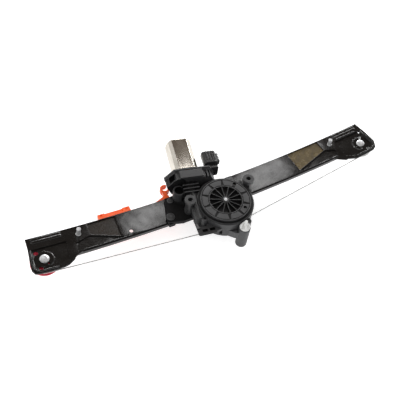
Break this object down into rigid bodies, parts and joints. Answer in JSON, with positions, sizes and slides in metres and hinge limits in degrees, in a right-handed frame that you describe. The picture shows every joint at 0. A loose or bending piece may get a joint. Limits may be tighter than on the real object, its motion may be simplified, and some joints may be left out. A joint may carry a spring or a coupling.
{
  "type": "window regulator",
  "caption": "Powered car window regulator: bowed pressed steel rail, cable over end pulleys, drum and worm gear motor, sliding glass carriage.",
  "frame": {"origin": "midway between the two bolt holes of the motor bosses, in the plane of the bosses' tops", "axes": "+X along the rail towards its upper end, +Z out of the bosses towards the motor side, +Y across the rail towards the motor's far end"},
  "size_m": [0.5419, 0.1806, 0.0632],
  "materials": {
    "gloss_black_steel": "smooth glossy black paint on pressed steel",
    "zinc_steel": "bright zinc plate",
    "can_steel": "plated drawn steel",
    "black_housing": "fine grained black glass-filled nylon",
    "black_gloss_plastic": "smooth black plastic",
    "pulley_red": "smooth acetal",
    "orange_plastic": "smooth moulded acetal",
    "natural_acetal": "smooth acetal",
    "cable_wire": "bare stranded wire",
    "rubber": "soft matte rubber",
    "ferrite": "ground ferrite",
    "copper": "enamelled copper",
    "bronze": "sintered bronze",
    "graphite": "graphite",
    "lamination_steel": "stamped electrical steel",
    "white_plastic": "smooth white nylon"
  },
  "bodies": {
    "frame": {"rail": "gloss_black_steel", "stud_lower": "zinc_steel", "stud_upper": "zinc_steel", "pulley_rivet_lower": "zinc_steel", "pulley_rivet_upper": "zinc_steel", "cable_lower": "cable_wire", "cable_upper": "cable_wire", "drum_housing": "black_housing", "housing_rivets": "black_gloss_plastic", "locating_pin": "white_plastic", "gear_housing": "black_housing", "gear_cover": "black_housing", "housing_screws": "gloss_black_steel", "drum_shaft": "zinc_steel", "motor_can": "can_steel", "motor_seal": "rubber", "flange_screws": "zinc_steel", "magnet_left": "ferrite", "magnet_right": "ferrite", "brush_holder": "black_gloss_plastic", "brushes": "graphite", "brush_springs": "zinc_steel", "worm_bush_near": "bronze", "worm_bush_far": "bronze", "can_bush": "bronze", "thrust_ball": "zinc_steel", "connector_housing": "black_gloss_plastic", "connector_terminals": "zinc_steel", "end_buffer_lower": "rubber", "end_buffer_upper": "rubber"},
    "carriage": {"carriage": "orange_plastic", "cable_nipples": "zinc_steel", "glass_clamp": "zinc_steel", "clamp_screw": "zinc_steel", "clamp_nut": "zinc_steel"},
    "drum_train": {"drum": "natural_acetal", "worm_wheel": "natural_acetal", "damper": "rubber", "driver": "black_gloss_plastic"},
    "pulley_low": {"pulley_lower": "pulley_red"},
    "pulley_high": {"pulley_upper": "white_plastic"},
    "armature": {"armature_shaft": "zinc_steel", "lamination_stack": "lamination_steel", "windings": "copper", "commutator": "copper"}
  },
  "joints": [
    {"name": "carriage_travel", "type": "hinge", "parent": "frame", "child": "carriage", "pos_m": [0, 0, 1.566], "axis": [0, -1, 0], "range_deg": [-1.76, 9.44]},
    {"name": "armature_spin", "type": "hinge", "parent": "frame", "child": "armature", "pos_m": [-0.04034, -0.00764, -0.014], "axis": [0.2351, 0.972, 0], "range_deg": [-6991.36, 37438.54]},
    {"name": "drum_spin", "type": "hinge", "parent": "frame", "child": "drum_train", "pos_m": [0, -0.0174, -0.02], "axis": [0, 0, 1], "range_deg": [-513.08, 96]},
    {"name": "pulley_low_spin", "type": "hinge", "parent": "frame", "child": "pulley_low", "pos_m": [-0.25178, 0.0005, -0.02285], "axis": [0.0785, 0, 0.9969], "range_deg": [-890.48, 166.72]},
    {"name": "pulley_high_spin", "type": "hinge", "parent": "frame", "child": "pulley_high", "pos_m": [0.25178, 0.0005, -0.02285], "axis": [-0.0785, 0, 0.9969], "range_deg": [-890.48, 166.72]}
  ],
  "couplings": [
    {"joint": "armature_spin", "follows": "carriage_travel", "ratio": 3965.5},
    {"joint": "drum_spin", "follows": "carriage_travel", "ratio": -54.322},
    {"joint": "pulley_low_spin", "follows": "carriage_travel", "ratio": -94.265},
    {"joint": "pulley_high_spin", "follows": "carriage_travel", "ratio": -94.265}
  ]
}
